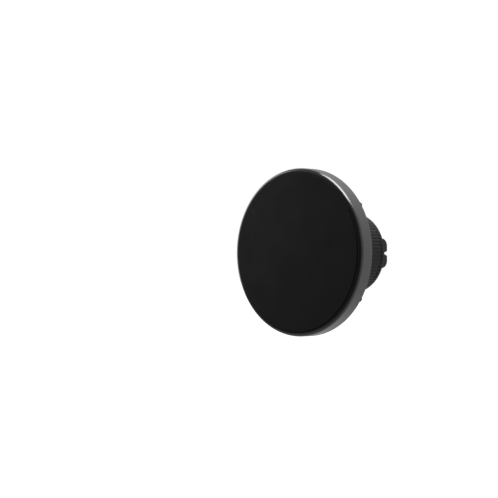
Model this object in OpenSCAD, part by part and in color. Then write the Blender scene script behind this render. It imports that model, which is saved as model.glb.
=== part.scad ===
// Car phone mount. A magnetic disc stands on a ball joint, and two jaws that a
// twist dial opens and closes grip the blade of an air vent.
// Millimetres, Z up. The origin is the centre of the pad's flat face, X runs to
// the right as the face is seen, and Y runs back through the mount to the vent.

/* [Disc] */
// Outer radius of the metal ring
ring_r = 29.2; // [28.8:0.1:30.4]
// Wall thickness of the metal ring
ring_wall = 1.2; // [1:0.1:1.4]
// Length of the metal ring from front to back
ring_l = 6; // [5.8:0.1:7]
// Rounding on the ring's front edge
ring_edge = 1.1; // [0.4:0.1:1.1]
// Thickness of the soft pad
pad_t = 1; // [0.8:0.1:1.2]
// Number of arc magnets under the pad
magnet_n = 18; // [12:1:20]
// Rise of the rear cover's dome behind the ring
dome_h = 2.8; // [2.2:0.1:3.4]

/* [Ball joint] */
// Radius of the ball
ball_r = 6; // [5.6:0.1:6]
// Distance from the rear cover to the ball's centre
stud_l = 8; // [8:0.1:9]
// Radius of the neck between the ball and the cover
neck_r = 2.8; // [2.4:0.1:2.8]
// Outer radius of the lock nut
nut_r = 11.5; // [10.6:0.1:12]
// Number of finger grooves on the lock nut
nut_grooves = 30; // [16:1:40]

/* [Twist dial] */
// Outer radius of the dial
dial_r = 14.4; // [13.8:0.1:16]
// Length of the dial from front to back
dial_l = 11.6; // [11.6:0.1:12]
// Number of finger grooves on the dial
dial_grooves = 72; // [40:1:80]

/* [Jaws] */
// Width of both jaws
jaw_w = 10; // [8:0.2:10]
// Height of one jaw at its tip
jaw_h = 5.4; // [5.2:0.1:6.4]
// Rounding on the outer corner of a jaw's tip
tip_r = 2.8; // [2:0.1:3.2]
// How far the jaws reach behind the dial
jaw_reach = 13.5; // [12:0.1:16]

/* [Hidden] */
$fn = 96;

// Clearances: running fits, and plain gaps between pieces that pass each other
run_gap = 0.05;
gap = 0.2;

// Disc: radii
ring_in = ring_r - ring_wall;
inner_r = ring_in - 0.1;
flange_r = ring_in - 0.9;
magnet_r1 = ring_in - 1.4;
magnet_r0 = magnet_r1 - 3.2;
cover_screw_at = 17;
cover_screw_r = 0.9;
hub_r = 12;
spigot_r = 3.4;
stud_screw_r = 1.5;

// Disc: places along Y, from the face back
ring_y0 = 0.2;
ring_y1 = ring_y0 + ring_l;
adhesive_t = 0.2;
carrier_y0 = pad_t + adhesive_t;
carrier_t = 2;
carrier_y1 = carrier_y0 + carrier_t;
flange_t = 1.2;
rim_y0 = carrier_y1 + flange_t;
magnet_y0 = carrier_y0 + 0.4;
hub_y1 = ring_y1 + dome_h;
hub_t = 2;
hub_y0 = hub_y1 - hub_t;
washer_t = 0.55;
washer_y0 = hub_y0 - run_gap - washer_t;

// Ball joint, about the ball's centre
ball_y = hub_y1 + stud_l;
ball_gap_r = ball_r + run_gap;
socket_r = ball_r + 0.7;
thread_r = ball_r + 1.9;
nut_y0 = ball_y - 4.2;
nut_y1 = ball_y + 1.5;
lip_y1 = ball_y - 3;
socket_y0 = ball_y - 2.6;
land_y0 = ball_y + 1.7;
floor_y0 = ball_y + 7;
seat_y1 = floor_y0 - 0.4;
floor_y1 = ball_y + 8.2;

// Dial and frame: radii and places along Y
land_r = 9.1;
circlip_y = ball_y + 2.1;
circlip_t = 0.6;
circlip_groove_r = 8.4;
dial_y0 = ball_y + 2.8;
dial_y1 = dial_y0 + dial_l;
pin_room_r = 11.6;
cap_r = 12.2;
cap_y0 = dial_y1 - 1.8;
cap_y1 = dial_y1 - 0.2;
frame_flange_y = dial_y1 + gap;
frame_flange_r = 10.6;
frame_y1 = frame_flange_y + 1.2;
frame_screw_z = 7.9;
frame_screw_r = 0.8;
screw_head_y = frame_y1 - 0.9;

// Jaws, wedge and pins: places in the YZ plane
pin_y = dial_y1 - 0.6;
pin_z = 3.6;
pin_r = 1;
tail_y = pin_y - 3.9;
wedge_y1 = pin_y - 0.8;
drive_y = tail_y + 1.1;
drive_r = 0.9;
wedge_h0 = 2.4;
wedge_h1 = 0.85;
tip_y = dial_y1 + jaw_reach;
neck_h = 5;
shoulder_y = frame_y1 + 0.6;
face_z = 0.15;
grip_t = 0.8;
grip_y0 = pin_y + 4.6;
grip_y1 = tip_y - 2.2;
notch_y = tip_y - 1.8;
notch_z = 0.8;
room_x = jaw_w / 2 + gap;
room_z = 5.8;
spring_y = pin_y + 2.6;
spring_room_r = 1.5;
spring_room_z = 2.8;

// ---------- shared shapes ----------

// Solid round bar along Y
module bar_y(r, y0, y1) {
    translate([0, y0, 0])
        rotate([-90, 0, 0])
            cylinder(r = r, h = y1 - y0);
}

// Round bar along X, centred on X = 0
module bar_x(r, length) {
    rotate([0, 90, 0])
        cylinder(r = r, h = length, center = true);
}

// Washer-like ring along Y
module ring_part(r_out, r_in, y0, y1) {
    turned()
        translate([r_in, y0])
            square([r_out - r_in, y1 - y0]);
}

// Turns a flat shape, drawn as radius and depth, about the Y axis
module turned(angle = 360) {
    rotate([-90, 0, 0])
        rotate_extrude(angle = angle)
            children();
}

// Puts copies around the Y axis
module around_y(count, start = 0) {
    for (i = [0 : count - 1])
        rotate([0, start + i * 360 / count, 0])
            children();
}

// Extrudes a flat shape, drawn as Y and Z, across X
module across_x(width) {
    rotate([90, 0, 90])
        linear_extrude(width, center = true)
            children();
}

// Places copies above and below the middle plane
module both_sides(z) {
    for (side = [-1, 1])
        translate([0, 0, side * z])
            children();
}

// Evenly spaced round grooves along Y, cut into a grip
module grip_grooves(count, at_r, r, y0, y1) {
    around_y(count)
        translate([at_r, 0, 0])
            bar_y(r, y0, y1);
}

// ---------- disc ----------

module front_pad() {
    edge = 0.5;
    color("#26262a")
        turned() {
            square([inner_r - edge, pad_t]);
            translate([0, edge])
                square([inner_r, pad_t - edge]);
            translate([inner_r - edge, edge])
                circle(edge);
        }
}

module pad_adhesive() {
    color("#d8d8d0")
        bar_y(inner_r - 0.4, pad_t, carrier_y0);
}

module bezel_ring() {
    round_r = ring_r - ring_edge;
    color("#6c6c70")
        turned() {
            translate([ring_in, ring_y0])
                square([round_r - ring_in, ring_l]);
            translate([ring_in, ring_y0 + ring_edge])
                square([ring_wall, ring_l - ring_edge]);
            intersection() {
                translate([round_r, ring_y0 + ring_edge])
                    circle(ring_edge);
                translate([ring_in, ring_y0])
                    square([ring_wall, ring_edge + gap]);
            }
            translate([flange_r, carrier_y1])
                square([ring_in - flange_r + gap, flange_t]);
        }
}

// The arc magnets, also used to cut their pockets
module magnet_arcs() {
    arc = 360 / magnet_n;
    joint = 1.6;
    around_y(magnet_n)
        turned(arc - joint)
            translate([magnet_r0, magnet_y0])
                square([magnet_r1 - magnet_r0, carrier_y1 - magnet_y0]);
}

module magnet_carrier() {
    head_r = 1.8;
    key_hole_r = 4;
    color("#303034")
        difference() {
            bar_y(inner_r, carrier_y0, carrier_y1);
            magnet_arcs();
            bar_y(key_hole_r, carrier_y0 - 1, carrier_y1 + 1);
            around_y(4, 45)
                translate([cover_screw_at, 0, 0]) {
                    bar_y(cover_screw_r, carrier_y0 - 1, carrier_y1 + 1);
                    bar_y(head_r, carrier_y0 - 1, carrier_y0 + 1);
                }
        }
}

module ring_magnets() {
    color("#c8c8cc")
        magnet_arcs();
}

module yoke_ring() {
    color("#9a9a9e")
        ring_part(flange_r - 0.1, magnet_r0 - 0.4, carrier_y1, carrier_y1 + 0.8);
}

module rear_cover() {
    wall_in = inner_r - 1.3;
    boss_r = 2.4;
    boss_y1 = ring_y1 + 0.6;
    lug_r = 1.2;
    lug_y1 = ring_y1 + 1.1;
    lug_at = inner_r - 0.1;
    lug_turn = 34.5;
    color("#28282b")
        difference() {
            union() {
                turned()
                    polygon([
                        [0, hub_y1], [hub_r, hub_y1], [inner_r - 0.7, ring_y1 + 0.7],
                        [inner_r, ring_y1 + 0.3], [inner_r, rim_y0], [wall_in, rim_y0],
                        [wall_in - 0.4, rim_y0 + 0.6], [hub_r - 1, hub_y0], [0, hub_y0]
                    ]);
                around_y(4, 45)
                    translate([cover_screw_at, 0, 0])
                        bar_y(boss_r, carrier_y1, boss_y1);
                for (turn = [-lug_turn, lug_turn, 180 - lug_turn, 180 + lug_turn])
                    rotate([0, turn, 0])
                        translate([lug_at, 0, 0])
                            bar_y(lug_r, ring_y1 + 0.1, lug_y1);
            }
            bar_y(spigot_r + run_gap, hub_y0 - 1, hub_y1 + 1);
            around_y(4, 45)
                translate([cover_screw_at, 0, 0])
                    bar_y(cover_screw_r, carrier_y1 - 1, boss_y1);
        }
}

module cover_screws() {
    head_r = 1.7;
    color("#808086")
        around_y(4, 45)
            translate([cover_screw_at, 0, 0])
                difference() {
                    union() {
                        bar_y(head_r, carrier_y0 + 0.1, carrier_y0 + 1);
                        bar_y(cover_screw_r, carrier_y0 + 0.5, ring_y1 + 0.3);
                    }
                    translate([-0.2, carrier_y0, -1])
                        cube([0.4, 0.5, 2]);
                }
}

// ---------- ball joint ----------

module ball_stud() {
    collar_r = 4.4;
    color("#b4b4b8")
        difference() {
            union() {
                translate([0, ball_y, 0])
                    sphere(ball_r);
                bar_y(neck_r, hub_y1 + run_gap, ball_y);
                bar_y(collar_r, hub_y1 + run_gap, hub_y1 + 0.75);
                bar_y(spigot_r, hub_y0 - run_gap, hub_y1 + 0.5);
            }
            bar_y(stud_screw_r, hub_y0 - 1, ball_y - 3);
        }
}

module stud_washer() {
    washer_r = 5.2;
    color("#a8a8ac")
        ring_part(washer_r, stud_screw_r, washer_y0, washer_y0 + washer_t);
}

module stud_screw() {
    head_r = 2.8;
    key_r = 1.4;
    head_y0 = washer_y0 - 1.5;
    color("#808086")
        difference() {
            union() {
                bar_y(head_r, head_y0, washer_y0);
                bar_y(stud_screw_r, head_y0 + 1, ball_y - 3.2);
            }
            translate([0, head_y0 - 1, 0])
                rotate([-90, 0, 0])
                    cylinder(r = key_r, h = 2, $fn = 6);
        }
}

module pressure_ring() {
    color("#e6e6e0")
        difference() {
            bar_y(socket_r - run_gap, lip_y1 + 0.1, ball_y - 0.4);
            translate([0, ball_y, 0])
                sphere(ball_gap_r);
        }
}

module lock_nut() {
    mouth_r = 5.7;
    chamfer = 2.2;
    color("#2c2c30")
        difference() {
            turned()
                polygon([
                    [mouth_r, nut_y0], [nut_r - 3.3, nut_y0], [nut_r, nut_y0 + chamfer],
                    [nut_r, nut_y1 - 0.5], [nut_r - 0.5, nut_y1], [thread_r + run_gap, nut_y1],
                    [thread_r + run_gap, lip_y1], [mouth_r, lip_y1]
                ]);
            grip_grooves(nut_grooves, nut_r + 0.1, 0.5, nut_y0 + chamfer + 0.2, nut_y1 + 1);
        }
}

module socket_body() {
    color("#2a2a2d")
        difference() {
            turned()
                polygon([
                    [socket_r, socket_y0], [thread_r, socket_y0], [thread_r, land_y0],
                    [land_r, land_y0], [land_r, circlip_y], [circlip_groove_r, circlip_y],
                    [circlip_groove_r, circlip_y + circlip_t], [land_r, circlip_y + circlip_t],
                    [land_r, floor_y1], [0, floor_y1], [0, floor_y0], [socket_r, floor_y0]
                ]);
            both_sides(frame_screw_z)
                bar_y(frame_screw_r, dial_y0 + 1, floor_y1 + 1);
        }
}

module ball_seat() {
    color("#e6e6e0")
        difference() {
            bar_y(socket_r, ball_y + 1, seat_y1);
            translate([0, ball_y, 0])
                sphere(ball_gap_r);
        }
}

// Dished spring washer behind the ball's seat
module seat_spring() {
    in_r = 3.4;
    out_r = 6.4;
    lip = 1;
    dish = 0.2;
    color("#a8a8ac")
        turned()
            polygon([
                [in_r, seat_y1], [in_r + lip, seat_y1], [out_r, seat_y1 + dish],
                [out_r, floor_y0], [out_r - lip, floor_y0], [in_r, floor_y0 - dish]
            ]);
}

// ---------- vent clip ----------

module dial_circlip() {
    circlip_r = 10;
    mouth = 3;
    color("#808086")
        difference() {
            ring_part(circlip_r, circlip_groove_r + run_gap, circlip_y, circlip_y + circlip_t);
            translate([-mouth / 2, circlip_y - 1, 0])
                cube([mouth, circlip_t + 2, circlip_r + 1]);
        }
}

module clip_frame() {
    sink_r = 1.5;
    color("#2a2a2d")
        difference() {
            union() {
                bar_y(land_r, floor_y1, frame_flange_y);
                bar_y(frame_flange_r, frame_flange_y, frame_y1);
            }
            translate([-room_x, floor_y1 - 1, -room_z])
                cube([2 * room_x, frame_y1 - floor_y1 + 2, 2 * room_z]);
            translate([-land_r - 1, floor_y1 - 1, -drive_r - 0.1])
                cube([2 * land_r + 2, drive_y + drive_r + gap - floor_y1 + 1, 2 * drive_r + 0.2]);
            both_sides(pin_z)
                translate([0, pin_y, 0])
                    bar_x(pin_r, 2 * land_r + 2);
            both_sides(frame_screw_z) {
                bar_y(frame_screw_r, floor_y1 - 1, frame_y1 + 1);
                bar_y(sink_r, screw_head_y, frame_y1 + 1);
            }
        }
}

module frame_screws() {
    head_r = 1.4;
    key_r = 0.7;
    color("#808086")
        both_sides(frame_screw_z)
            difference() {
                union() {
                    bar_y(frame_screw_r, dial_y0 + 1.2, screw_head_y + 0.4);
                    bar_y(head_r, screw_head_y, frame_y1 - 0.1);
                }
                translate([0, frame_y1 - 0.6, 0])
                    rotate([-90, 0, 0])
                        cylinder(r = key_r, h = 2, $fn = 6);
            }
}

module jaw_pins() {
    pin_l = 15.4;
    color("#b4b4b8")
        both_sides(pin_z)
            translate([0, pin_y, 0])
                bar_x(pin_r, pin_l);
}

// Helical spring standing in the two jaws' pockets, as rings of points swept along the helix
module jaw_spring() {
    turns = 6;
    steps = 12;
    sides = 6;
    wire_r = 0.17;
    coil_r = 0.85;
    half_h = spring_room_z - 0.3;
    count = turns * steps;
    points = [
        for (i = [0 : count])
            for (k = [0 : sides - 1])
                let (a = i * 360 / steps, b = k * 360 / sides, r = coil_r + wire_r * cos(b))
                [r * cos(a), r * sin(a), -half_h + 2 * half_h * i / count + wire_r * sin(b)]
    ];
    walls = [
        for (i = [0 : count - 1])
            for (k = [0 : sides - 1])
                let (n = (k + 1) % sides, here = i * sides, next = here + sides)
                [here + k, next + k, next + n, here + n]
    ];
    start_face = [for (k = [0 : sides - 1]) k];
    end_face = [for (k = [sides - 1 : -1 : 0]) count * sides + k];
    color("#b4b4b8")
        translate([0, spring_y, 0])
            polyhedron(points, concat([start_face], walls, [end_face]), convexity = 8);
}

module clamp_dial() {
    color("#2c2c30")
        difference() {
            turned()
                polygon([
                    [land_r + run_gap, dial_y0], [dial_r - 0.8, dial_y0], [dial_r, dial_y0 + 0.8],
                    [dial_r, dial_y1], [cap_r, dial_y1], [cap_r, cap_y0], [pin_room_r, cap_y0],
                    [pin_room_r, dial_y0 + 2.8], [land_r + run_gap, dial_y0 + 2.8]
                ]);
            grip_grooves(dial_grooves, dial_r + 0.1, 0.35, dial_y0 + 1.4, dial_y1 - 2);
        }
}

module dial_cap() {
    color("#2a2a2d")
        ring_part(cap_r, land_r + run_gap, cap_y0, cap_y1);
}

module wedge_slider() {
    color("#e6e6e0")
        difference() {
            across_x(jaw_w - 0.2)
                polygon([
                    [tail_y, -wedge_h0], [wedge_y1, -wedge_h1],
                    [wedge_y1, wedge_h1], [tail_y, wedge_h0]
                ]);
            translate([0, drive_y, 0])
                bar_x(drive_r, jaw_w + 1);
        }
}

module drive_pin() {
    drive_l = 22.6;
    color("#b4b4b8")
        translate([0, drive_y, 0])
            bar_x(drive_r, drive_l);
}

// One jaw, drawn above the middle plane
module jaw() {
    clear = 0.15;
    difference() {
        across_x(jaw_w) {
            polygon([
                [tail_y, wedge_h0 + clear], [wedge_y1, wedge_h1 + clear], [wedge_y1 + 1.2, face_z],
                [grip_y0, face_z], [grip_y0, face_z + grip_t], [grip_y1, face_z + grip_t],
                [grip_y1, face_z], [notch_y, face_z], [tip_y, notch_z], [tip_y, jaw_h - tip_r],
                [tip_y - tip_r, jaw_h - tip_r], [tip_y - tip_r, jaw_h],
                [shoulder_y + 1.4, jaw_h], [shoulder_y, neck_h], [tail_y, neck_h]
            ]);
            translate([tip_y - tip_r, jaw_h - tip_r])
                intersection() {
                    circle(tip_r);
                    square(2 * tip_r);
                }
        }
        translate([0, pin_y, pin_z])
            bar_x(pin_r + run_gap, jaw_w + 1);
        translate([0, spring_y, -1])
            cylinder(r = spring_room_r, h = spring_room_z + 1);
    }
}

// One rubber grip, let into the jaw's inner face
module grip() {
    translate([0, (grip_y0 + grip_y1) / 2, 0.1 + (grip_t + face_z - 0.1) / 2])
        cube([jaw_w - 1, grip_y1 - grip_y0, grip_t + face_z - 0.1], center = true);
}

module upper_jaw() {
    color("#28282b")
        jaw();
}

module upper_grip() {
    color("#1c1c1e")
        grip();
}

module lower_jaw() {
    color("#28282b")
        mirror([0, 0, 1])
            jaw();
}

module lower_grip() {
    color("#1c1c1e")
        mirror([0, 0, 1])
            grip();
}

front_pad();
pad_adhesive();
bezel_ring();
magnet_carrier();
ring_magnets();
yoke_ring();
rear_cover();
cover_screws();
ball_stud();
stud_washer();
stud_screw();
pressure_ring();
lock_nut();
socket_body();
ball_seat();
seat_spring();
dial_circlip();
clip_frame();
frame_screws();
jaw_pins();
jaw_spring();
clamp_dial();
dial_cap();
wedge_slider();
drive_pin();
upper_jaw();
upper_grip();
lower_jaw();
lower_grip();
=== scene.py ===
"""Looks of a magnetic car phone mount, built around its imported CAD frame.

Lengths are metres, in the frame of the CAD: the origin is the centre of the pad's flat
face, +Y runs back to the vent jaws and +Z is up.
"""

import logging
import math
from dataclasses import dataclass, field
from enum import Enum
from typing import Any, Callable, Iterable, Sequence

import bmesh
import bpy
from mathutils import Matrix, Vector


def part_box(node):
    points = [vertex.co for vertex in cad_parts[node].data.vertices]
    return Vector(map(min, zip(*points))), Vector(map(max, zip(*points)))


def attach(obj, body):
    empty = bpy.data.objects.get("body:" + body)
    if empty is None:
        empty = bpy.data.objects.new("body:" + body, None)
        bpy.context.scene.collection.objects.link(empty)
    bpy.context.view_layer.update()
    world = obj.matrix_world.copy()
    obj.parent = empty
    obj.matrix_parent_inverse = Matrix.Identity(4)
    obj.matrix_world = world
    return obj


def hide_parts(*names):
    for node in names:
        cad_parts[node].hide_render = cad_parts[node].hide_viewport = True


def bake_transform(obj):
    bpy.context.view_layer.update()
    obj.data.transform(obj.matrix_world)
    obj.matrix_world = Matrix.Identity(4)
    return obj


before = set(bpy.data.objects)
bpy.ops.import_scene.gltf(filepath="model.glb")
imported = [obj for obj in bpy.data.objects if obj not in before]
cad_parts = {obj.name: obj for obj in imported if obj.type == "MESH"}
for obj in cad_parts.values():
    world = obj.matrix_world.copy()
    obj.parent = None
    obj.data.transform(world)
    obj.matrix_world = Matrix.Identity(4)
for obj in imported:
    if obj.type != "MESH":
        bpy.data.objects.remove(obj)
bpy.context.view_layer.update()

MM = 0.001
# Points that lie closer than this are one point.
SAME = 1e-7
# Two noises of about 0.5 each are added up, and most of their sums lie in this range.
SUM_RANGE = (0.75, 1.25)

log = logging.getLogger("mount")


class Body(Enum):
    """The moving bodies that new pieces ride on."""

    DISC = "disc"
    STUD = "stud"
    NUT = "lock_nut"
    CLIP = "clip"
    DIAL = "dial"
    UPPER = "upper_jaw"
    LOWER = "lower_jaw"


# ---------- materials ----------


def linear(hex_colour: str) -> tuple[float, float, float, float]:
    """Turns an sRGB hex colour into linear RGBA.

    Args:
        hex_colour: Six hex digits after a hash sign.

    Returns:
        Linear red, green, blue and an alpha of 1.
    """
    shares = [int(hex_colour[i : i + 2], 16) / 255 for i in (1, 3, 5)]
    red, green, blue = (
        s / 12.92 if s <= 0.04045 else ((s + 0.055) / 1.055) ** 2.4 for s in shares
    )
    return red, green, blue, 1.0


def add_node(
    tree: bpy.types.NodeTree,
    kind: str,
    values: dict[Any, Any] | None = None,
    links: dict[Any, bpy.types.NodeSocket] | None = None,
    **settings: Any,
) -> bpy.types.Node:
    """Adds a shader node with its settings, its fixed inputs and its links.

    Args:
        tree: The node tree that gets the node.
        kind: The node's type name.
        values: Input name or index to a fixed value.
        links: Input name or index to the socket that feeds it.
        **settings: Properties of the node itself.

    Returns:
        The new node.
    """
    node = tree.nodes.new(kind)
    for name, value in settings.items():
        setattr(node, name, value)
    for name, value in (values or {}).items():
        node.inputs[name].default_value = value
    for name, socket in (links or {}).items():
        tree.links.new(socket, node.inputs[name])
    return node


@dataclass(frozen=True)
class Finish:
    """What a surface is made of and how it was made.

    Its colour is sRGB hex. The grain is the bump that the process leaves, and the cloud is
    the slow change of tone that handling and flow leave.
    """

    name: str
    colour: str
    roughness: float
    metallic: float = 0.0
    ior: float = 1.5
    grain: float = 0.4 * MM
    grain_depth: float = 0.01 * MM
    cloud: float = 9 * MM
    tone: float = 0.12
    roughness_spread: float = 0.06

    def build(self) -> bpy.types.Material:
        """Makes the material, or returns it if it is there already."""
        made = bpy.data.materials.get(self.name)
        if made:
            return made
        material = bpy.data.materials.new(self.name)
        material.use_nodes = True
        material.diffuse_color = linear(self.colour)
        tree = material.node_tree
        tree.nodes.clear()
        place = add_node(tree, "ShaderNodeTexCoord").outputs["Object"]
        grain = self.pattern(tree, place)
        cloud = add_node(
            tree, "ShaderNodeTexNoise", {"Scale": 1 / self.cloud, "Detail": 3.0}, {"Vector": place}
        ).outputs["Fac"]
        shader = add_node(
            tree,
            "ShaderNodeBsdfPrincipled",
            {"Metallic": self.metallic, "IOR": self.ior},
            {
                "Base Color": self.tinted(tree, cloud, grain),
                "Roughness": self.spread(tree, cloud, grain),
                "Normal": self.bumped(tree, grain),
            },
        )
        add_node(tree, "ShaderNodeOutputMaterial", links={"Surface": shader.outputs["BSDF"]})
        self.finish(tree, shader)
        return material

    def pattern(
        self, tree: bpy.types.NodeTree, place: bpy.types.NodeSocket
    ) -> bpy.types.NodeSocket:
        """Draws the fine pattern of the surface.

        Args:
            tree: The material's node tree.
            place: The object coordinates.

        Returns:
            The pattern's height, from 0 to 1.
        """
        return add_node(
            tree, "ShaderNodeTexNoise", {"Scale": 1 / self.grain, "Detail": 2.0}, {"Vector": place}
        ).outputs["Fac"]

    def tinted(
        self, tree: bpy.types.NodeTree, cloud: bpy.types.NodeSocket, grain: bpy.types.NodeSocket
    ) -> bpy.types.NodeSocket:
        """Makes the colour a little darker and lighter by the cloud and the grain.

        Args:
            tree: The material's node tree.
            cloud: The slow pattern.
            grain: The fine pattern.

        Returns:
            The colour.
        """
        both = add_node(
            tree, "ShaderNodeMath", links={0: cloud, 1: grain}, operation="ADD"
        ).outputs["Value"]
        red, green, blue, _ = linear(self.colour)
        dark = tuple(c * (1 - self.tone) for c in (red, green, blue)) + (1.0,)
        light = tuple(min(c * (1 + self.tone), 1.0) for c in (red, green, blue)) + (1.0,)
        low, high = SUM_RANGE
        share = add_node(
            tree, "ShaderNodeMapRange", {"From Min": low, "From Max": high}, {"Value": both}
        ).outputs["Result"]
        mixed = add_node(
            tree, "ShaderNodeMix", {6: dark, 7: light}, {"Factor": share}, data_type="RGBA"
        )
        return mixed.outputs[2]

    def spread(
        self, tree: bpy.types.NodeTree, cloud: bpy.types.NodeSocket, grain: bpy.types.NodeSocket
    ) -> bpy.types.NodeSocket:
        """Makes the roughness change with the cloud and the grain.

        Args:
            tree: The material's node tree.
            cloud: The slow pattern.
            grain: The fine pattern.

        Returns:
            The roughness.
        """
        both = add_node(
            tree, "ShaderNodeMath", links={0: cloud, 1: grain}, operation="ADD"
        ).outputs["Value"]
        return add_node(
            tree,
            "ShaderNodeMapRange",
            {
                "From Min": SUM_RANGE[0],
                "From Max": SUM_RANGE[1],
                "To Min": self.roughness - self.roughness_spread,
                "To Max": self.roughness + self.roughness_spread,
            },
            {"Value": both},
        ).outputs["Result"]

    def bumped(
        self, tree: bpy.types.NodeTree, grain: bpy.types.NodeSocket
    ) -> bpy.types.NodeSocket:
        """Presses the grain into the surface.

        Args:
            tree: The material's node tree.
            grain: The fine pattern.

        Returns:
            The normal with the grain on it.
        """
        return add_node(
            tree,
            "ShaderNodeBump",
            {"Strength": 1.0, "Distance": self.grain_depth},
            {"Height": grain},
        ).outputs["Normal"]

    def finish(self, tree: bpy.types.NodeTree, shader: bpy.types.Node) -> None:
        """Adds what is a finish's own. The plain one adds nothing."""


@dataclass(frozen=True)
class Turned(Finish):
    """Metal cut on a lathe: fine rings about the Y axis, on walls and faces alike."""

    def pattern(
        self, tree: bpy.types.NodeTree, place: bpy.types.NodeSocket
    ) -> bpy.types.NodeSocket:
        """Draws rings: noise that changes only with radius and depth.

        Args:
            tree: The material's node tree.
            place: The object coordinates.

        Returns:
            The rings' height, from 0 to 1.
        """
        parts = add_node(tree, "ShaderNodeSeparateXYZ", links={"Vector": place})
        across = add_node(
            tree,
            "ShaderNodeCombineXYZ",
            links={"X": parts.outputs["X"], "Y": parts.outputs["Z"]},
        ).outputs["Vector"]
        radius = add_node(
            tree, "ShaderNodeVectorMath", links={0: across}, operation="LENGTH"
        ).outputs["Value"]
        rings = add_node(
            tree, "ShaderNodeCombineXYZ", links={"X": radius, "Y": parts.outputs["Y"]}
        ).outputs["Vector"]
        return add_node(
            tree, "ShaderNodeTexNoise", {"Scale": 1 / self.grain, "Detail": 2.0}, {"Vector": rings}
        ).outputs["Fac"]


@dataclass(frozen=True)
class Handled(Finish):
    """Moulded plastic whose edges fingers rub lighter and smoother; only the lighter tone is
    drawn.
    """

    worn: str = "#454547"
    wear: float = 0.5
    edge_range: tuple[float, float] = (0.53, 0.62)

    def tinted(
        self, tree: bpy.types.NodeTree, cloud: bpy.types.NodeSocket, grain: bpy.types.NodeSocket
    ) -> bpy.types.NodeSocket:
        """Adds a lighter tone to the plain tint, along the edges that stand out.

        Args:
            tree: The material's node tree.
            cloud: The slow pattern, which makes the wear patchy.
            grain: The fine pattern.

        Returns:
            The colour.
        """
        plain = super().tinted(tree, cloud, grain)
        edge = add_node(tree, "ShaderNodeNewGeometry").outputs["Pointiness"]
        low, high = self.edge_range
        share = add_node(
            tree,
            "ShaderNodeMapRange",
            {"From Min": low, "From Max": high, "To Max": self.wear},
            {"Value": edge},
        ).outputs["Result"]
        patchy = add_node(
            tree, "ShaderNodeMath", links={0: share, 1: cloud}, operation="MULTIPLY"
        ).outputs["Value"]
        mixed = add_node(
            tree,
            "ShaderNodeMix",
            {7: linear(self.worn)},
            {"Factor": patchy, 6: plain},
            data_type="RGBA",
        )
        return mixed.outputs[2]


@dataclass(frozen=True)
class Painted(Finish):
    """Matt paint that glows, as a lit studio floor does."""

    glow: float = 0.95

    def finish(self, tree: bpy.types.NodeTree, shader: bpy.types.Node) -> None:
        """Adds the glow."""
        shader.inputs["Emission Color"].default_value = linear(self.colour)
        shader.inputs["Emission Strength"].default_value = self.glow


# The grain of the moulded finishes is drawn at 0.3 to 0.6 mm. The real grain is about 0.1 mm,
# which is too fine to show.

# Silicone rubber, pressed in a blasted mould: matt and dense, it shows almost no highlight.
SILICONE = Finish(
    "silicone_pressed",
    "#181819",
    0.62,
    ior=1.41,
    grain=0.5 * MM,
    grain_depth=0.03 * MM,
    tone=0.1,
)
# Aluminium, turned, bead blasted and anodised grey: a soft even sheen along the wall.
ANODISED = Turned(
    "aluminium_anodised", "#777777", 0.36, 1.0, grain=0.5 * MM, grain_depth=0.002 * MM, tone=0.05
)
# The same aluminium cut again by a diamond tool after anodising: a narrow mirror edge.
DIAMOND_CUT = Turned(
    "aluminium_diamond_cut",
    "#767676",
    0.14,
    1.0,
    grain=0.5 * MM,
    grain_depth=0.0006 * MM,
    tone=0.03,
)
# ABS, moulded with a spark texture: dark with a broad sheen broken into fine pits.
ABS_TEXTURED = Handled(
    "abs_spark_textured",
    "#29292a",
    0.48,
    ior=1.46,
    grain=0.5 * MM,
    grain_depth=0.07 * MM,
    wear=0.3,
)
# ABS and polycarbonate, moulded with a satin tool: the grip parts that fingers polish.
GRIP_PLASTIC = Handled(
    "abs_satin_moulded",
    "#171718",
    0.42,
    ior=1.42,
    grain=0.6 * MM,
    grain_depth=0.035 * MM,
    wear=0.6,
)
# Glass filled nylon, moulded: a faintly cloudy satin on the jaws.
JAW_PLASTIC = Handled(
    "nylon_glass_filled", "#212122", 0.46, grain=0.6 * MM, grain_depth=0.04 * MM, wear=0.5
)
# Natural acetal, moulded: waxy white inner bearings.
ACETAL = Finish(
    "acetal_natural", "#dcd9cc", 0.38, ior=1.48, grain=0.6 * MM, grain_depth=0.004 * MM
)
# Rubber, compression moulded: deep black and dry.
GRIP_RUBBER = Finish("rubber_moulded", "#161617", 0.78, grain=0.3 * MM, grain_depth=0.02 * MM)
# Steel, turned and ground: bright with fine rings.
GROUND_STEEL = Turned(
    "steel_ground", "#b9b9bd", 0.22, 1.0, grain=0.3 * MM, grain_depth=0.001 * MM, tone=0.05
)
# Steel, stamped and zinc plated: pale with a bluish cast.
ZINC_STEEL = Finish(
    "steel_zinc_plated", "#aeb2b8", 0.34, 1.0, grain=0.8 * MM, grain_depth=0.003 * MM
)
# Steel screws, blackened in hot oxide: dark and slightly oily.
BLACK_OXIDE = Finish("steel_black_oxide", "#3a3a3e", 0.34, 1.0, grain_depth=0.003 * MM)
# Sintered magnets, nickel plated: a warm mirror with a slight orange peel.
NICKEL = Finish(
    "magnet_nickel_plated", "#c9c3b8", 0.16, 1.0, grain=0.9 * MM, grain_depth=0.002 * MM
)
# White matt paint on the floor: it meets the white background without a line.
FLOOR_PAINT = Painted(
    "floor_paint", "#f4f4f4", 0.8, grain=8 * MM, grain_depth=0.05 * MM, tone=0.01
)
# Acrylic transfer tape: a milky film.
TAPE = Finish("tape_acrylic", "#d8d6cc", 0.5, ior=1.47, grain=1.2 * MM, grain_depth=0.006 * MM)


# ---------- shapes ----------


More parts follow.
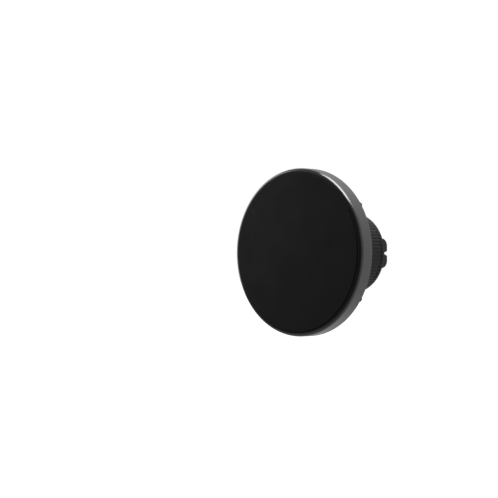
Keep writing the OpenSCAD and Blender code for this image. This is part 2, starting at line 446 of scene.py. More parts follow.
@dataclass(frozen=True)
class Corner:
    """One corner of an outline, and how far from it its rounding starts.

    For a turned piece, across is the radius and along the depth. For a jaw, across is the
    height and along the depth.
    """

    across: float
    along: float
    rounding: float = 0.0
    segments: int = 4


@dataclass(frozen=True)
class Round:
    """Outer radius and depth span of a round CAD node that lies along Y."""

    radius: float
    front: float
    back: float

    @classmethod
    def of(cls, node: str) -> "Round":
        """Reads the size of a CAD node.

        Args:
            node: The node's name.

        Returns:
            Its outer radius, front and back.
        """
        low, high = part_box(node)
        return cls(high.x, low.y, high.y)


def arc(
    across: float, along: float, reach: tuple[float, float], span: tuple[float, float], steps: int
) -> list[Corner]:
    """Points along a part of an ellipse, to stand in an outline.

    Args:
        across: The centre's radius or height.
        along: The centre's depth.
        reach: The ellipse's half sizes, across and along.
        span: Start and end angle in degrees, 0 being towards the front.
        steps: Number of steps, both ends being kept.

    Returns:
        The corners in order.
    """
    angles = [math.radians(span[0] + (span[1] - span[0]) * i / steps) for i in range(steps + 1)]
    return [
        Corner(across + reach[0] * math.sin(a), along - reach[1] * math.cos(a)) for a in angles
    ]


def rounded_outline(
    bm: bmesh.types.BMesh,
    corners: Sequence[Corner],
    place: Callable[[Corner], Vector],
    closed: bool,
) -> None:
    """Draws an outline as a chain of edges and rounds its corners.

    Args:
        bm: The mesh that gets the outline.
        corners: The outline's corners in order.
        place: Turns a corner into a point.
        closed: Whether the last corner joins the first.
    """
    verts = [bm.verts.new(place(corner)) for corner in corners]
    for a, b in zip(verts, verts[1:] + verts[:1] if closed else verts[1:]):
        bm.edges.new((a, b))
    for corner, vert in zip(corners, verts):
        if corner.rounding:
            bmesh.ops.bevel(
                bm,
                geom=[vert],
                offset=corner.rounding,
                segments=corner.segments,
                profile=0.5,
                affect="VERTICES",
                material=-1,
            )


def turned(corners: Sequence[Corner], steps: int = 192, closed: bool = True) -> bmesh.types.BMesh:
    """Turns an outline about the Y axis into a closed shape.

    Args:
        corners: The outline, as radius and depth. An open one starts and ends on the axis.
        steps: Number of flat facets around.
        closed: Whether the outline closes on itself.

    Returns:
        The turned mesh.
    """
    bm = bmesh.new()
    rounded_outline(bm, corners, lambda c: Vector((c.across, c.along, 0.0)), closed)
    bmesh.ops.spin(
        bm,
        geom=bm.verts[:] + bm.edges[:],
        cent=(0.0, 0.0, 0.0),
        axis=(0.0, 1.0, 0.0),
        angle=math.tau,
        steps=steps,
        use_merge=True,
    )
    return bm


def bar(radius: float, start: Vector, end: Vector, sides: int = 48) -> bmesh.types.BMesh:
    """Makes a closed round or polygonal bar between two points.

    Args:
        radius: Its radius, or the radius of its edges.
        start: The middle of one end.
        end: The middle of the other end.
        sides: Number of sides.

    Returns:
        The bar.
    """
    run = end - start
    turn = run.to_track_quat("Z", "Y").to_matrix().to_4x4()
    bm = bmesh.new()
    bmesh.ops.create_cone(
        bm,
        cap_ends=True,
        segments=sides,
        radius1=radius,
        radius2=radius,
        depth=run.length,
        matrix=Matrix.Translation((start + end) / 2) @ turn,
    )
    return bm


def block(low: Vector, high: Vector) -> bmesh.types.BMesh:
    """Makes a closed box.

    Args:
        low: Its lowest corner.
        high: Its highest corner.

    Returns:
        The box.
    """
    size = high - low
    bm = bmesh.new()
    matrix = Matrix.Translation((low + high) / 2) @ Matrix.Diagonal((*size, 1.0))
    bmesh.ops.create_cube(bm, size=1.0, matrix=matrix)
    return bm


def press_grooves(
    bm: bmesh.types.BMesh, count: int, depth: float, wall: Round, fade: float
) -> None:
    """Presses evenly spaced finger grooves into a turned wall.

    Args:
        bm: The turned mesh, with a whole number of steps for each groove.
        count: Number of grooves around.
        depth: Depth of a groove.
        wall: The wall's radius, and where the grooves start and end.
        fade: Length over which a groove runs out at each end.
    """
    rows = 4
    cuts = [wall.front + fade * i / rows for i in range(rows + 1)]
    cuts += [wall.back - fade * i / rows for i in range(rows + 1)]
    for depth_cut in cuts:
        geom = bm.verts[:] + bm.edges[:] + bm.faces[:]
        bmesh.ops.bisect_plane(
            bm, geom=geom, dist=SAME, plane_co=(0.0, depth_cut, 0.0), plane_no=(0.0, 1.0, 0.0)
        )
    for vert in bm.verts:
        radius = math.hypot(vert.co.x, vert.co.z)
        if radius < wall.radius - 10 * SAME or not wall.front < vert.co.y < wall.back:
            continue
        inside = min(vert.co.y - wall.front, wall.back - vert.co.y, fade) / fade
        ramp = math.sin(inside * math.pi / 2)
        phase = math.atan2(vert.co.z, vert.co.x) * count
        dip = depth * ramp * (0.5 + 0.5 * math.cos(phase))
        vert.co.x *= 1 - dip / radius
        vert.co.z *= 1 - dip / radius


def piece(name: str, bm: bmesh.types.BMesh, crease: float = 35.0) -> bpy.types.Object:
    """Makes a finished mesh a shown object at the origin.

    Args:
        name: The piece's name.
        bm: The mesh, which is used up.
        crease: Edges that turn by more than this many degrees stay crisp.

    Returns:
        The new object.
    """
    bmesh.ops.remove_doubles(bm, verts=bm.verts, dist=SAME)
    bmesh.ops.recalc_face_normals(bm, faces=bm.faces)
    mesh = bpy.data.meshes.new(name)
    bm.to_mesh(mesh)
    bm.free()
    made = bpy.data.objects.new(name, mesh)
    bpy.context.scene.collection.objects.link(made)
    shade(made, crease)
    return made


def shade(made: bpy.types.Object, crease: float = 35.0) -> None:
    """Shades a piece smooth, crisp at its creases, with flats kept flat.

    Args:
        made: The piece.
        crease: Edges that turn by more than this many degrees stay crisp.
    """
    made.data.shade_smooth()
    made.data.set_sharp_from_angle(angle=math.radians(crease))
    if "flats" not in made.modifiers:
        flats = made.modifiers.new("flats", "WEIGHTED_NORMAL")
        flats.keep_sharp = True


class Way(Enum):
    """What a closed shape does to a piece."""

    ADD = "UNION"
    CUT = "DIFFERENCE"


def combine(made: bpy.types.Object, way: Way, shapes: Iterable[bmesh.types.BMesh]) -> None:
    """Adds closed shapes to a piece or cuts them out, so that it stays one closed solid.

    Args:
        made: The piece.
        way: Whether the shapes are added or cut.
        shapes: The shapes, which are used up.
    """
    made.modifiers.clear()
    for shape in shapes:
        other = piece("shape", shape)
        step = made.modifiers.new("step", "BOOLEAN")
        step.operation = way.value
        step.solver = "EXACT"
        step.object = other
        bpy.context.view_layer.update()
        result = bpy.data.meshes.new_from_object(
            made.evaluated_get(bpy.context.evaluated_depsgraph_get())
        )
        made.modifiers.clear()
        old = made.data
        made.data = result
        result.name = made.name
        bpy.data.meshes.remove(old)
        scrap = other.data
        bpy.data.objects.remove(other)
        bpy.data.meshes.remove(scrap)
    shade(made)


def place_piece(
    made: bpy.types.Object, body: Body, slot: str, finish: Finish, *nodes: str
) -> bpy.types.Object:
    """Dresses a piece, hides the CAD nodes it stands for, and lets it ride on its body.

    Args:
        made: The piece.
        body: The body it moves with.
        slot: The record's material slot; not used.
        finish: Its surface finish.
        *nodes: The CAD nodes it replaces.

    Returns:
        The same piece.
    """
    if not made.data.materials:
        made.data.materials.append(finish.build())
    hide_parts(*nodes)
    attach(made, body.value)
    triangles = sum(len(face.vertices) - 2 for face in made.data.polygons)
    log.info("%s: %d triangles, %s", made.name, triangles, finish.name)
    return made


def dress_node(node: str, finish: Finish) -> None:
    """Gives a CAD node that stays as it is its finish.

    Args:
        node: The node's name.
        finish: Its surface finish.
    """
    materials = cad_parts[node].data.materials
    materials.clear()
    materials.append(finish.build())
    log.info("%s: CAD shape, %s", node, finish.name)


# ---------- the disc ----------


@dataclass
class Disc:
    """The magnetic disc: pad, metal ring, magnets and rear cover."""

    ring: Round = field(default_factory=lambda: Round.of("bezel_ring"))
    pad: Round = field(default_factory=lambda: Round.of("front_pad"))
    carrier: Round = field(default_factory=lambda: Round.of("magnet_carrier"))
    cover: Round = field(default_factory=lambda: Round.of("rear_cover"))
    ring_wall: float = 1.2 * MM
    ring_edge: tuple[float, float] = (1.16 * MM, 1.5 * MM)
    diamond_share: float = 0.6
    flange: float = 0.9 * MM
    flange_thick: float = 1.2 * MM
    hub: float = 12 * MM
    hub_bore: float = 3.45 * MM
    hub_thick: float = 2 * MM
    shell: float = 1.3 * MM
    shell_slope: float = 0.7 * MM
    rim_land: float = 0.3 * MM
    rim_fillet: tuple[float, float] = (0.4 * MM, 0.6 * MM)
    hub_wall: float = 1 * MM
    lug: float = 1.2 * MM
    lug_turn: float = 34.5
    lug_high: float = 1.1 * MM
    gap: float = 0.1 * MM
    boss: float = 2.4 * MM
    boss_sink: float = 0.6 * MM
    drill_run: float = 3 * MM
    screw: float = 0.9 * MM
    screw_circle: float = 17 * MM

    def build(self) -> None:
        """Makes every piece of the disc."""
        self.make_pad()
        self.make_ring()
        self.make_cover()
        dress_node("pad_adhesive", TAPE)
        dress_node("magnet_carrier", ABS_TEXTURED)
        dress_node("ring_magnets", NICKEL)
        dress_node("yoke_ring", ZINC_STEEL)
        dress_node("cover_screws", BLACK_OXIDE)

    def make_pad(self) -> None:
        """The silicone pad: a flat face with a soft pressed edge."""
        pad = self.pad
        corners = [
            Corner(0, pad.front),
            Corner(pad.radius, pad.front, 0.45 * MM, 6),
            Corner(pad.radius, pad.back, 0.1 * MM, 2),
            Corner(0, pad.back),
        ]
        made = piece("silicone_pad", turned(corners, 256, closed=False))
        place_piece(made, Body.DISC, "silicone_pad", SILICONE, "front_pad")

    def make_ring(self) -> None:
        """The metal ring: anodised wall, mirror front edge, inner flange."""
        ring = self.ring
        inner = ring.radius - self.ring_wall
        seat = self.carrier.back
        wide, deep = self.ring_edge
        corners = [
            Corner(inner, ring.front),
            *arc(ring.radius - wide, ring.front + deep, self.ring_edge, (0, 90), 14),
            Corner(ring.radius, ring.back, 0.2 * MM, 3),
            Corner(inner, ring.back, 0.12 * MM, 2),
            Corner(inner, seat + self.flange_thick),
            Corner(inner - self.flange, seat + self.flange_thick),
            Corner(inner - self.flange, seat),
            Corner(inner, seat),
        ]
        made = piece("metal_ring", turned(corners, 320))
        made.data.materials.append(ANODISED.build())
        made.data.materials.append(DIAMOND_CUT.build())
        edge_end = ring.front + self.diamond_share * deep
        for face in made.data.polygons:
            if face.center.y < edge_end and math.hypot(face.center.x, face.center.z) > inner:
                face.material_index = 1
        place_piece(made, Body.DISC, "anodised_ring", ANODISED, "bezel_ring")

    def make_cover(self) -> None:
        """The rear cover: a shallow dome with a hub, screw bosses inside and lugs on its rim."""
        ring, cover = self.ring, self.cover
        rim = self.carrier.back + self.flange_thick
        slope = self.shell_slope
        fillet_in, fillet_back = self.rim_fillet
        corners = [
            Corner(self.hub_bore, cover.back, 0.15 * MM, 2),
            Corner(self.hub, cover.back, 1.6 * MM, 5),
            Corner(cover.radius - slope, ring.back + slope, 0.5 * MM, 4),
            Corner(cover.radius, ring.back + self.rim_land, 0.3 * MM, 3),
            Corner(cover.radius, rim),
            Corner(cover.radius - self.shell, rim),
            Corner(cover.radius - self.shell - fillet_in, rim + fillet_back),
            Corner(self.hub - self.hub_wall, cover.back - self.hub_thick, 0.8 * MM, 3),
            Corner(self.hub_bore, cover.back - self.hub_thick),
        ]
        made = piece("rear_shell", turned(corners, 256))
        self.add_bosses(made, rim)
        place_piece(made, Body.DISC, "black_plastic", ABS_TEXTURED, "rear_cover")

    def add_bosses(self, made: bpy.types.Object, rim: float) -> None:
        """Adds the screw bosses and the rim lugs to the cover, and drills the bosses.

        Args:
            made: The cover.
            rim: The depth of the cover's front rim.
        """
        boss_back = self.ring.back + self.boss_sink
        bosses, holes = [], []
        for quarter in range(4):
            turn = Matrix.Rotation(math.radians(45 + 90 * quarter), 4, "Y")
            at = turn @ Vector((self.screw_circle, 0, 0))
            end = at + Vector((0, boss_back, 0))
            bosses.append(bar(self.boss, at + Vector((0, self.carrier.back, 0)), end))
            holes.append(bar(self.screw, at + Vector((0, rim - self.drill_run, 0)), end, 24))
        lugs = []
        for turn_deg in (-self.lug_turn, self.lug_turn, 180 - self.lug_turn, 180 + self.lug_turn):
            turn = Matrix.Rotation(math.radians(turn_deg), 4, "Y")
            at = turn @ Vector((self.cover.radius - self.gap, 0, 0))
            front = self.ring.back + self.gap
            back = self.ring.back + self.lug_high
            lug = turned(
                [
                    Corner(0, front),
                    Corner(self.lug, front, 0.1 * MM, 2),
                    Corner(self.lug, back, 0.5 * MM, 5),
                    Corner(0, back),
                ],
                48,
                closed=False,
            )
            bmesh.ops.translate(lug, verts=lug.verts, vec=at)
            lugs.append(lug)
        combine(made, Way.ADD, bosses + lugs)
        combine(made, Way.CUT, holes)


# ---------- the ball joint ----------


@dataclass
class BallJoint:
    """The ball stud, its socket and the lock nut."""

    stud: Round = field(default_factory=lambda: Round.of("ball_stud"))
    nut: Round = field(default_factory=lambda: Round.of("lock_nut"))
    ball: float = 6 * MM
    neck: float = 2.8 * MM
    spigot: float = 3.4 * MM
    collar: float = 4.4 * MM
    collar_thick: float = 0.7 * MM
    hub_back: float = field(default_factory=lambda: Round.of("rear_cover").back)
    run_gap: float = 0.05 * MM
    screw: float = 1.5 * MM
    mouth: float = 5.7 * MM
    nut_chamfer: float = 2.2 * MM
    nut_grooves: int = 30
    nut_slope: float = 3.3 * MM
    groove_deep: float = 0.45 * MM
    groove_fade: float = 0.5 * MM
    groove_ends: tuple[float, float] = (0.6 * MM, 0.4 * MM)
    thread_out: float = 1.95 * MM
    lip: float = 1.2 * MM

    def build(self) -> None:
        """Makes every piece of the joint."""
        self.make_stud()
        self.make_nut()
        dress_node("socket_body", ABS_TEXTURED)
        dress_node("pressure_ring", ACETAL)
        dress_node("ball_seat", ACETAL)
        dress_node("seat_spring", ZINC_STEEL)
        dress_node("stud_washer", ZINC_STEEL)
        dress_node("stud_screw", BLACK_OXIDE)
        dress_node("dial_circlip", BLACK_OXIDE)

    def make_stud(self) -> None:
        """The stud: spigot, collar, neck and ball, turned in one piece."""
        centre = self.stud.back - self.ball
        collar_front = self.hub_back + self.run_gap
        start = math.degrees(math.asin(self.neck / self.ball))
        ball = arc(0, centre, (self.ball, self.ball), (start, 180), 40)
        hole_end = centre - self.ball / 2
        corners = [
            Corner(0, hole_end),
            Corner(self.screw, hole_end),
            Corner(self.screw, self.stud.front),
            Corner(self.spigot, self.stud.front, 0.15 * MM, 2),
            Corner(self.spigot, collar_front),
            Corner(self.collar, collar_front, 0.1 * MM, 2),
            Corner(self.collar, collar_front + self.collar_thick, 0.2 * MM, 3),
            Corner(self.neck, collar_front + self.collar_thick, 0.5 * MM, 5),
            *ball[:-1],
            Corner(0, self.stud.back),
        ]
        made = piece("ball_and_stud", turned(corners, 128, closed=False))
        place_piece(made, Body.STUD, "polished_steel", GROUND_STEEL, "ball_stud")

    def make_nut(self) -> None:
        """The lock nut: a grooved ring with a sloping front."""
        nut = self.nut
        thread = self.ball + self.thread_out
        corners = [
            Corner(self.mouth, nut.front, 0.3 * MM, 3),
            Corner(nut.radius - self.nut_slope, nut.front, 0.5 * MM, 4),
            Corner(nut.radius, nut.front + self.nut_chamfer, 0.6 * MM, 4),
            Corner(nut.radius, nut.back, 0.45 * MM, 4),
            Corner(thread, nut.back, 0.2 * MM, 2),
            Corner(thread, nut.front + self.lip),
            Corner(self.mouth, nut.front + self.lip),
        ]
        bm = turned(corners, self.nut_grooves * 10)
        front_end, back_end = self.groove_ends
        wall = Round(nut.radius, nut.front + self.nut_chamfer + front_end, nut.back - back_end)
        press_grooves(bm, self.nut_grooves, self.groove_deep, wall, self.groove_fade)
        made = piece("lock_collar", bm, 50)
        place_piece(made, Body.NUT, "grip_plastic", GRIP_PLASTIC, "lock_nut")


# ---------- the dial and the clip ----------


@dataclass
class TwistDial:
    """The ribbed dial and its rear bearing ring."""

    dial: Round = field(default_factory=lambda: Round.of("clamp_dial"))
    cap: Round = field(default_factory=lambda: Round.of("dial_cap"))
    land: float = 9.15 * MM
    pin_room: float = 11.6 * MM
    front_land: float = 2.8 * MM
    grooves: int = 72
    groove_deep: float = 0.18 * MM
    groove_fade: float = 0.5 * MM
    groove_ends: tuple[float, float] = (1.3 * MM, 1.6 * MM)

    def build(self) -> None:
        """Makes the dial and its cap."""
        dial, cap = self.dial, self.cap
        corners = [
            Corner(self.land, dial.front, 0.2 * MM, 2),
            Corner(dial.radius, dial.front, 0.8 * MM, 5),
            Corner(dial.radius, dial.back, 0.25 * MM, 4),
            Corner(cap.radius, dial.back, 0.15 * MM, 2),
            Corner(cap.radius, cap.front),
            Corner(self.pin_room, cap.front),
            Corner(self.pin_room, dial.front + self.front_land),
            Corner(self.land, dial.front + self.front_land),
        ]
        bm = turned(corners, self.grooves * 6)
        front_end, back_end = self.groove_ends
        wall = Round(dial.radius, dial.front + front_end, dial.back - back_end)
        press_grooves(bm, self.grooves, self.groove_deep, wall, self.groove_fade)
        made = piece("twist_dial", bm, 50)
        place_piece(made, Body.DIAL, "grip_plastic", GRIP_PLASTIC, "clamp_dial")
        ring = [
            Corner(self.land, cap.front),
            Corner(cap.radius, cap.front),
            Corner(cap.radius, cap.back, 0.1 * MM, 2),
            Corner(self.land, cap.back, 0.2 * MM, 3),
        ]
        made = piece("dial_bearing", turned(ring, 192))
        place_piece(made, Body.DIAL, "black_plastic", ABS_TEXTURED, "dial_cap")


@dataclass
class VentClip:
    """The rear frame, its screws and what it holds."""

    frame_box: Round = field(default_factory=lambda: Round.of("clip_frame"))
    barrel: float = 9.1 * MM
    flange_thick: float = 1.2 * MM
    room_x: float = 5.2 * MM
    room_z: float = 5.8 * MM
    pin_z: float = 3.6 * MM
    pin: float = 1 * MM
    screw_z: float = 7.9 * MM
    screw: float = 0.8 * MM
    head: float = 1.4 * MM
    head_thick: float = 0.8 * MM
    key: float = 0.7 * MM
    key_deep: float = 0.5 * MM
    sink_gap: float = 0.1 * MM
    pin_gap: tuple[float, float] = (0.2 * MM, 0.1 * MM)
    reach: float = 1 * MM
    wire: float = 0.17 * MM
    half_turns: int = 3
    steps_a_turn: int = 32

    def build(self) -> None:
        """Makes the frame and its screws, and dresses the parts inside."""
        self.make_frame()
        self.make_screws()
        self.make_spring(1, Body.UPPER)
        self.make_spring(-1, Body.LOWER)
        dress_node("jaw_pins", GROUND_STEEL)
        dress_node("wedge_slider", ACETAL)
        dress_node("drive_pin", GROUND_STEEL)

    def make_frame(self) -> None:
        """The frame: a barrel with a rear flange and the window for the jaws."""
        whole = self.frame_box
        flange = whole.back - self.flange_thick
        corners = [
            Corner(0, whole.front),
            Corner(self.barrel, whole.front, 0.15 * MM, 2),
            Corner(self.barrel, flange),
            Corner(whole.radius, flange, 0.15 * MM, 2),
            Corner(whole.radius, whole.back, 0.35 * MM, 4),
            Corner(0, whole.back),
        ]
        made = piece("rear_frame", turned(corners, 160, closed=False))
        reach = self.reach
        room = block(
            Vector((-self.room_x, whole.front - reach, -self.room_z)),
            Vector((self.room_x, whole.back + reach, self.room_z)),
        )
        along = [e for e in room.edges if abs(e.verts[0].co.y - e.verts[1].co.y) > 2 * reach]
        bmesh.ops.bevel(
            room, geom=along, offset=0.5 * MM, segments=4, profile=0.5, affect="EDGES", material=-1
        )
        pin_low, pin_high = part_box("drive_pin")
        behind, beside = self.pin_gap
        slot = block(
            Vector((-self.barrel - reach, whole.front - reach, pin_low.z - beside)),
            Vector((self.barrel + reach, pin_high.y + behind, pin_high.z + beside)),
        )
        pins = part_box("jaw_pins")
        pin_y = (pins[0].y + pins[1].y) / 2
        cutters = [room, slot]
        for side in (-1, 1):
            at = Vector((0, pin_y, side * self.pin_z))
            out = Vector((self.barrel + reach, 0, 0))
            cutters.append(bar(self.pin, at - out, at + out, 48))
            at = Vector((0, 0, side * self.screw_z))
            start = at + Vector((0, whole.front - reach, 0))
            end = at + Vector((0, whole.back + reach, 0))
            cutters.append(bar(self.screw, start, end, 32))
            sink = at + Vector((0, whole.back - self.head_thick - self.sink_gap, 0))
            cutters.append(bar(self.head + self.sink_gap, sink, end, 48))
        combine(made, Way.CUT, cutters)
        place_piece(made, Body.CLIP, "black_plastic", ABS_TEXTURED, "clip_frame")

    def make_spring(self, side: int, jaw: Body) -> None:
        """Half of the jaw spring, a coil from the frame's middle plane towards its jaw.

        Args:
            side: 1 for the half above the middle plane, -1 for the half below it.
            jaw: The jaw that names the half; the half does not follow it.
        """
        low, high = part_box("jaw_spring")
        depth = (low.y + high.y) / 2
        coil = high.x - self.wire
        bm = bmesh.new()
        bmesh.ops.create_circle(bm, cap_ends=False, segments=12, radius=self.wire)
        bmesh.ops.rotate(bm, verts=bm.verts, matrix=Matrix.Rotation(math.pi / 2, 3, "X"))
        bmesh.ops.translate(bm, verts=bm.verts, vec=(coil, depth, 0.0))
        steps = self.half_turns * self.steps_a_turn
        bmesh.ops.spin(
            bm,
            geom=bm.verts[:] + bm.edges[:],
            cent=(0.0, depth, 0.0),
            axis=(0.0, 0.0, 1.0),
            dvec=(0.0, 0.0, (high.z - self.wire) / steps),
            angle=self.half_turns * math.tau,
            steps=steps,
            use_merge=False,
        )
        bmesh.ops.holes_fill(bm, edges=bm.edges, sides=12)
        if side < 0:
            flip = Matrix.Rotation(math.pi, 3, "X")
            bmesh.ops.rotate(bm, cent=(0.0, depth, 0.0), verts=bm.verts, matrix=flip)
        made = piece(f"{jaw.value.replace('jaw', 'spring')}_half", bm, 60)
        made.data.materials.append(GROUND_STEEL.build())
        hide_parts("jaw_spring")
        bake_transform(made)

    def make_screws(self) -> None:
        """Two socket screws with chamfered heads."""
        low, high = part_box("frame_screws")
        shapes = bmesh.new()
        for side in (-1, 1):
            head_front = high.y - self.head_thick
            bm = turned(
                [
                    Corner(0, low.y),
                    Corner(self.screw, low.y, 0.2 * MM, 1),
                    Corner(self.screw, head_front),
                    Corner(self.head, head_front, 0.05 * MM, 1),
                    Corner(self.head, high.y, 0.25 * MM, 3),
                    Corner(0, high.y),
                ],
                48,
                closed=False,
            )
            bmesh.ops.translate(bm, verts=bm.verts, vec=(0, 0, side * self.screw_z))
            part = piece("screw", bm)
            key = Vector((0, high.y, side * self.screw_z))
            deep = Vector((0, self.key_deep, 0))
            combine(part, Way.CUT, [bar(self.key, key - deep, key + deep, 6)])
            shapes.from_mesh(part.data)
            bpy.data.objects.remove(part)
        made = piece("frame_screw_pair", shapes)
        place_piece(made, Body.CLIP, "dark_screw", BLACK_OXIDE, "frame_screws")


@dataclass
class Jaw:
    """One jaw with its rubber grip, drawn above the middle plane and mirrored below it."""

    name: str
    body: Body
    side: int
    tail_gap: float = 2.55 * MM
    wedge_gap: float = 1 * MM
    wedge_back: float = 3.1 * MM
    wedge_slope: float = 1.2 * MM
    face: float = 0.15 * MM
    neck: float = 5 * MM
    shoulder: float = 6.5 * MM
    shoulder_slope: float = 1.4 * MM
    tip: float = 2.8 * MM
    notch: float = 0.8 * MM
    notch_deep: float = 1.8 * MM
    edge: float = 0.35 * MM
    pin_gap: float = 0.05 * MM
    pocket: float = 1.5 * MM
    pocket_top: float = 2.8 * MM
    ridges: int = 6
    ridge: float = 0.05 * MM

    def build(self) -> None:
        """Makes the jaw and its grip."""
        low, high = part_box("upper_jaw")
        grip_low, grip_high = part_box("upper_grip")
        tail, tip_y, height, half = low.y, high.y, high.z, high.x
        wedge_end = tail + self.wedge_back
        neck_end = tail + self.shoulder
        corners = [
            Corner(self.tail_gap, tail, 0.25 * MM, 2),
            Corner(self.wedge_gap, wedge_end, 0.3 * MM, 3),
            Corner(self.face, wedge_end + self.wedge_slope, 0.3 * MM, 3),
            Corner(self.face, tip_y - self.notch_deep, 0.5 * MM, 4),
            Corner(self.notch, tip_y, 0.3 * MM, 4),
            Corner(height, tip_y, self.tip, 16),
            Corner(height, neck_end + self.shoulder_slope, 0.7 * MM, 4),
            Corner(self.neck, neck_end, 0.7 * MM, 4),
            Corner(self.neck, tail, 0.5 * MM, 3),
        ]
        made = piece(self.name, self.prism(corners, half))
        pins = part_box("jaw_pins")
        pin_y = (pins[0].y + pins[1].y) / 2
        pin_r = (pins[1].y - pins[0].y) / 2 + self.pin_gap
        pin_z = self.side * (pins[1].z - pin_r + self.pin_gap)
        out = Vector((half + MM, 0, 0))
        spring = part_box("jaw_spring")
        spring_y = (spring[0].y + spring[1].y) / 2
        pocket_top = Vector((0, spring_y, self.side * self.pocket_top))
        recess = block(Vector((grip_low.x, grip_low.y, -MM)), grip_high)
        if self.side < 0:
            bmesh.ops.scale(recess, vec=(1, 1, -1), verts=recess.verts)
        combine(
            made,
            Way.CUT,
            [
                bar(pin_r, Vector((0, pin_y, pin_z)) - out, Vector((0, pin_y, pin_z)) + out, 48),
                bar(self.pocket, Vector((0, spring_y, -self.side * MM)), pocket_top, 48),
                recess,
            ],
        )
        place_piece(made, self.body, "jaw_plastic", JAW_PLASTIC, self.body.value)
        self.make_grip(grip_low, grip_high)

    def prism(self, corners: Sequence[Corner], half: float) -> bmesh.types.BMesh:
        """Extrudes the jaw's side view across X and rounds the edges of both sides.

        Args:
            corners: The side view's corners.
            half: Half the jaw's width.

        Returns:
            The jaw's closed shape.
        """
        bm = bmesh.new()
        rounded_outline(
            bm, corners, lambda c: Vector((-half, c.along, self.side * c.across)), closed=True
        )
        face = bmesh.ops.contextual_create(bm, geom=bm.edges[:])["faces"]
        far = bmesh.ops.extrude_face_region(bm, geom=face)["geom"]
        verts = [g for g in far if isinstance(g, bmesh.types.BMVert)]
        bmesh.ops.translate(bm, verts=verts, vec=(2 * half, 0, 0))
        bmesh.ops.recalc_face_normals(bm, faces=bm.faces)
        sides = [e for e in bm.edges if abs(e.verts[0].co.x - e.verts[1].co.x) < SAME]
        bmesh.ops.bevel(
            bm,
            geom=sides,
            offset=self.edge,
            segments=4,
            profile=0.5,
            affect="EDGES",
            clamp_overlap=True,
            material=-1,
        )
        return bm

    def make_grip(self, low: Vector, high: Vector) -> None:
        """Makes the rubber grip: a slab with low ridges across it.

        Args:
            low: The upper grip's lowest corner.
            high: The upper grip's highest corner.
        """
        bm = block(low, high)
        inner = [e for e in bm.edges if abs(e.verts[0].co.y - e.verts[1].co.y) > SAME]
        bmesh.ops.subdivide_edges(bm, edges=inner, cuts=self.ridges * 4 - 1, use_grid_fill=True)
        for vert in bm.verts:
            if vert.co.z < low.z + SAME:
                share = (vert.co.y - low.y) / (high.y - low.y)
                vert.co.z += self.ridge * (1 + math.cos(share * self.ridges * math.tau))
        if self.side < 0:
            bmesh.ops.scale(bm, vec=(1, 1, -1), verts=bm.verts)
        node = self.body.value.replace("jaw", "grip")
        made = piece(f"{node}_rubber", bm)
        place_piece(made, self.body, "grip_rubber", GRIP_RUBBER, node)


# ---------- the studio ----------


@dataclass(frozen=True)
class Softbox:
    """A rectangular soft light that faces the mount.

    Its direction is seen from the mount, its spread is its size in degrees along and
    across its long side, and its radiance is how bright its face is.
    """

    name: str
    direction: Vector
    along: Vector
    spread: tuple[float, float]
    radiance: float
    distance: float = 0.6

    def build(self, aim: Vector) -> None:
        """Adds the light.

        Args:
            aim: The point it faces.
        """
        out = self.direction.normalized()
        side = (self.along - out * self.along.dot(out)).normalized()
        data = bpy.data.lights.new(self.name, "AREA")
        data.shape = "RECTANGLE"
        data.size = 2 * self.distance * math.tan(math.radians(self.spread[0] / 2))
        data.size_y = 2 * self.distance * math.tan(math.radians(self.spread[1] / 2))
        data.energy = self.radiance * math.pi * data.size * data.size_y
        light = bpy.data.objects.new(self.name, data)
        light.matrix_world = Matrix.Translation(aim + out * self.distance) @ Matrix(
            (side, out.cross(side), out)
        ).transposed().to_4x4()
        bpy.context.scene.collection.objects.link(light)


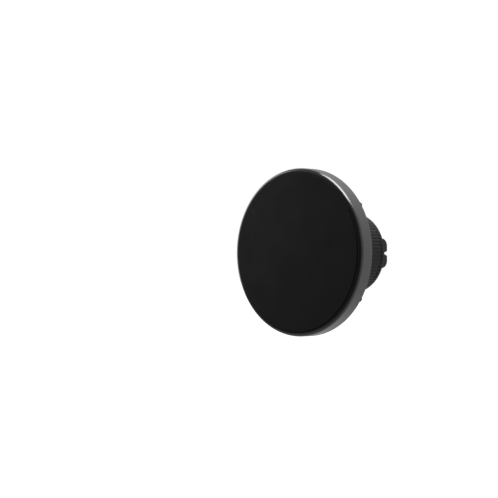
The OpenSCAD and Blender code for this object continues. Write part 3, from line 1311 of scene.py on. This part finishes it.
@dataclass
class Studio:
    """A pale floor, soft light and the camera."""

    eye: Vector = field(default_factory=lambda: Vector((0.33119, -0.36801, -0.00598)))
    azimuth: float = 43.84
    lens: float = 103.35
    shift_up: float = 0.0415
    floor_z: float = -0.085
    floor_half: float = 6.0
    aim: Vector = field(default_factory=lambda: Vector((0, 0.01, 0)))
    bright_side: Vector = field(default_factory=lambda: Vector((-0.3, 0.95, 0.1)).normalized())
    room: tuple[tuple[float, float], ...] = (
        (0.0, 0.03),
        (0.08, 0.04),
        (0.19, 0.07),
        (0.3, 0.2),
        (0.6, 0.22),
        (0.74, 0.4),
        (0.83, 0.6),
        (0.9, 0.75),
        (1.0, 0.42),
    )

    def build(self) -> None:
        """Sets up the camera, the floor, the world and the lights."""
        self.make_camera()
        self.make_floor()
        self.make_world()
        for softbox in (
            Softbox("top", Vector((0.165, 0.114, 1.0)), Vector((0.88, -0.3, -0.3)), (44, 37), 4.4),
            Softbox("left", Vector((-0.9, -0.38, 0.3)), Vector((0, 0, 1)), (50, 30), 1.2, 0.2),
        ):
            softbox.build(self.aim)

    def make_camera(self) -> None:
        """The camera, level, looking at the mount from its front right."""
        data = bpy.data.cameras.new("camera")
        data.lens = self.lens
        data.sensor_width = 36.0
        data.shift_y = self.shift_up
        data.clip_start = 0.01
        data.clip_end = 20
        camera = bpy.data.objects.new("camera", data)
        camera.location = self.eye
        camera.rotation_euler = (math.pi / 2, 0, math.radians(self.azimuth))
        bpy.context.scene.collection.objects.link(camera)
        bpy.context.scene.camera = camera

    def make_floor(self) -> None:
        """A wide white floor, which glows enough to meet the background and lights nothing."""
        bm = bmesh.new()
        bmesh.ops.create_grid(bm, x_segments=1, y_segments=1, size=self.floor_half)
        bmesh.ops.translate(bm, verts=bm.verts, vec=(0, 0, self.floor_z))
        mesh = bpy.data.meshes.new("floor")
        bm.to_mesh(mesh)
        bm.free()
        floor = bpy.data.objects.new("floor", mesh)
        bpy.context.scene.collection.objects.link(floor)
        floor.visible_diffuse = False
        floor.visible_glossy = False
        floor.visible_shadow = False
        mesh.materials.append(FLOOR_PAINT.build())

    def make_world(self) -> None:
        """A room that is bright behind the mount and dim in front of it."""
        world = bpy.data.worlds.new("room")
        world.use_nodes = True
        bpy.context.scene.world = world
        tree = world.node_tree
        tree.nodes.clear()
        direction = add_node(tree, "ShaderNodeTexCoord").outputs["Generated"]
        facing = add_node(
            tree,
            "ShaderNodeVectorMath",
            {1: self.bright_side},
            {0: direction},
            operation="DOT_PRODUCT",
        ).outputs["Value"]
        share = add_node(
            tree, "ShaderNodeMapRange", {"From Min": -1.0, "From Max": 1.0}, {"Value": facing}
        ).outputs["Result"]
        ramp = add_node(tree, "ShaderNodeValToRGB", links={"Fac": share})
        stops = ramp.color_ramp.elements
        for place, _ in self.room[1:-1]:
            stops.new(place)
        for stop, (place, grey) in zip(stops, self.room):
            stop.position = place
            stop.color = (grey, grey, grey, 1.0)
        glow = ramp.outputs["Color"]
        seen = add_node(tree, "ShaderNodeLightPath").outputs["Is Camera Ray"]
        strength = add_node(
            tree, "ShaderNodeMix", {3: 1.0}, {"Factor": seen, 2: glow}, data_type="FLOAT"
        ).outputs[0]
        back = add_node(
            tree, "ShaderNodeBackground", {"Color": (1, 1, 1, 1)}, {"Strength": strength}
        )
        add_node(tree, "ShaderNodeOutputWorld", links={"Surface": back.outputs["Background"]})


def main() -> None:
    """Builds the mount's looks, one sub-assembly after another."""
    logging.basicConfig(level=logging.INFO, format="%(name)s: %(message)s")
    bpy.context.scene.view_settings.view_transform = "Standard"
    Studio().build()
    Disc().build()
    BallJoint().build()
    TwistDial().build()
    VentClip().build()
    Jaw("upper_claw", Body.UPPER, 1).build()
    Jaw("lower_claw", Body.LOWER, -1).build()


if __name__ == "__main__":
    main()
